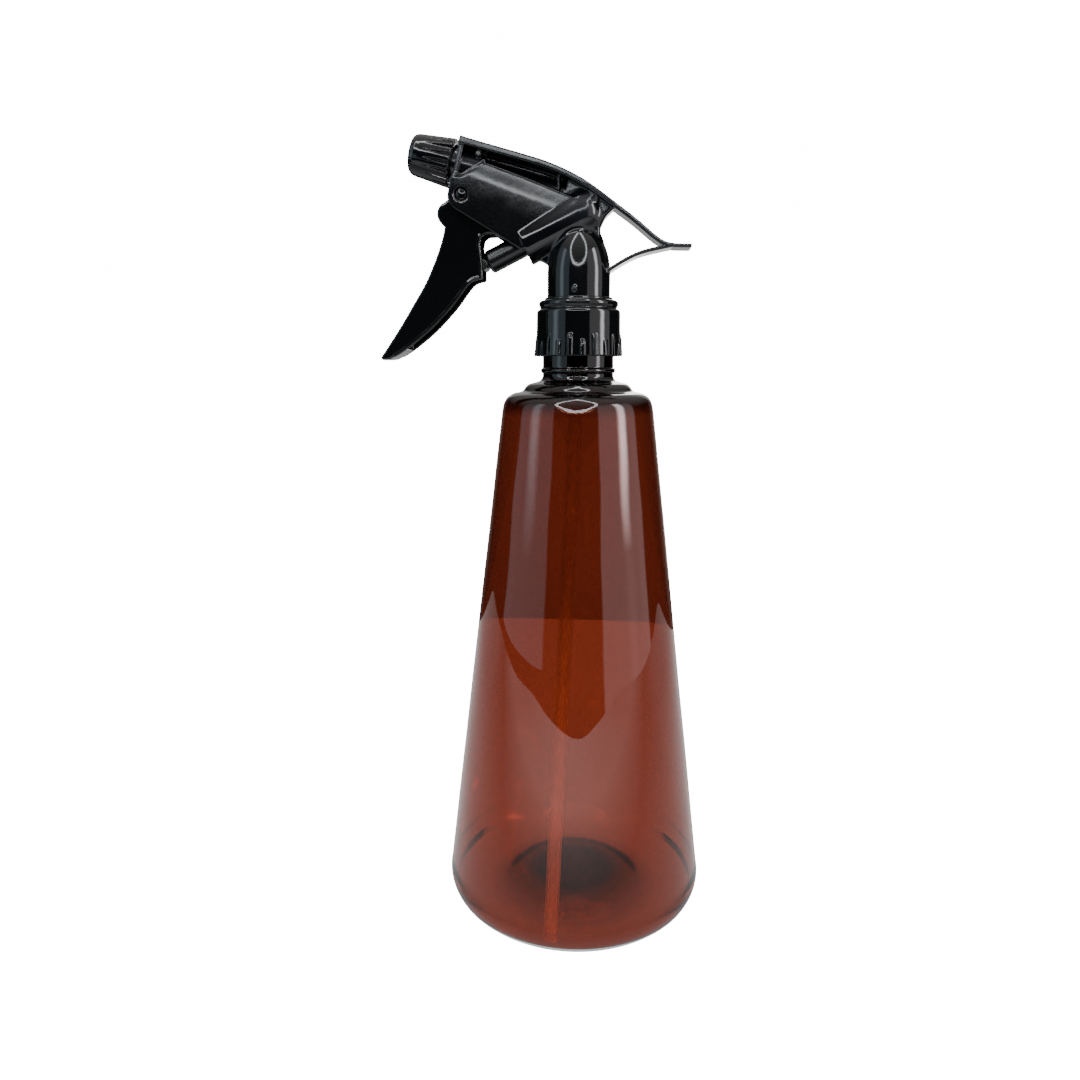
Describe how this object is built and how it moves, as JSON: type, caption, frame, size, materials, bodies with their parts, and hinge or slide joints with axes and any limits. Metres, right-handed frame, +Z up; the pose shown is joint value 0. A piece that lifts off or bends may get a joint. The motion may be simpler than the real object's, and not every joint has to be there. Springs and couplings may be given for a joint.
{
  "type": "trigger spray bottle",
  "caption": "Conical clear amber spray bottle with a ribbed screw closure and a black trigger sprayer with turning nozzle, sprung trigger, piston pump and dip tube.",
  "frame": {"origin": "the middle of the whole object's box, on the plane that it stands on; the bottle's own axis is at x = +10.25 mm", "axes": "+Z up along the bottle's axis, the nozzle points towards -X, Y across the sprayer"},
  "size_m": [0.1185, 0.0978, 0.2814],
  "materials": {
    "amber_bottle": "clear amber, glossy, blow moulded",
    "black_plastic": "glossy black, injection moulded",
    "natural_plastic": "natural, slightly waxy",
    "tube_plastic": "natural, see-through",
    "soft_seal": "soft, matt",
    "steel": "polished"
  },
  "bodies": {
    "bottle": {"bottle": "amber_bottle"},
    "neck_seal": {"neck_gasket": "soft_seal"},
    "sprayer": {"sprayer_body": "black_plastic", "tube_retainer": "natural_plastic", "dip_tube": "tube_plastic", "return_spring": "steel", "swirl_plug": "natural_plastic", "spout_ring": "soft_seal", "outlet_spring": "steel"},
    "closure": {"closure": "black_plastic"},
    "trigger": {"trigger": "black_plastic"},
    "piston": {"piston_rod": "black_plastic", "piston_cup": "natural_plastic"},
    "inlet_valve": {"inlet_ball": "steel"},
    "outlet_valve": {"outlet_ball": "steel"},
    "nozzle_seat": {"nozzle_seal": "soft_seal"},
    "nozzle": {"nozzle_cap": "black_plastic"}
  },
  "joints": [
    {"name": "sprayer_lift", "type": "slide", "parent": "bottle", "child": "neck_seal", "axis": [0, 0, 1], "range_m": [0, 0.235], "deforming": ["dip_tube"]},
    {"name": "closure_rise", "type": "slide", "parent": "neck_seal", "child": "sprayer", "axis": [0, 0, 1], "range_m": [0, 0.0064]},
    {"name": "closure_turn", "type": "hinge", "parent": "sprayer", "child": "closure", "pos_m": [0.01025, 0, 0.2076], "axis": [0, 0, 1], "range_deg": [0, 540]},
    {"name": "trigger_pivot", "type": "hinge", "parent": "sprayer", "child": "trigger", "pos_m": [-0.02945, 0, 0.2609], "axis": [0, -1, 0], "range_deg": [0, 20], "stiffness_Nm_per_rad": 0.45, "springref_deg": -20.05},
    {"name": "piston_slide", "type": "slide", "parent": "sprayer", "child": "piston", "axis": [0.8988, 0, 0.4384], "range_m": [0, 0.0081], "deforming": ["return_spring"]},
    {"name": "inlet_ball_lift", "type": "slide", "parent": "sprayer", "child": "inlet_valve", "axis": [0, 0, 1], "range_m": [0, 0.001]},
    {"name": "outlet_ball_lift", "type": "slide", "parent": "sprayer", "child": "outlet_valve", "axis": [-0.9703, 0, 0.2419], "range_m": [0, 0.001], "stiffness_N_per_m": 60, "springref_m": -0.002, "deforming": ["outlet_spring"]},
    {"name": "nozzle_advance", "type": "slide", "parent": "sprayer", "child": "nozzle_seat", "axis": [-0.9703, 0, 0.2419], "range_m": [-0.0013, 0.0026]},
    {"name": "nozzle_turn", "type": "hinge", "parent": "nozzle_seat", "child": "nozzle", "pos_m": [-0.0315, 0, 0.2715], "axis": [-0.9703, 0, 0.2419], "range_deg": [-180, 360]}
  ],
  "couplings": [
    {"joint": "piston_slide", "follows": "trigger_pivot", "m_per_rad": 0.02293},
    {"joint": "closure_rise", "follows": "closure_turn", "m_per_rad": 0.00067376},
    {"joint": "nozzle_advance", "follows": "nozzle_turn", "m_per_rad": 0.00039789}
  ]
}
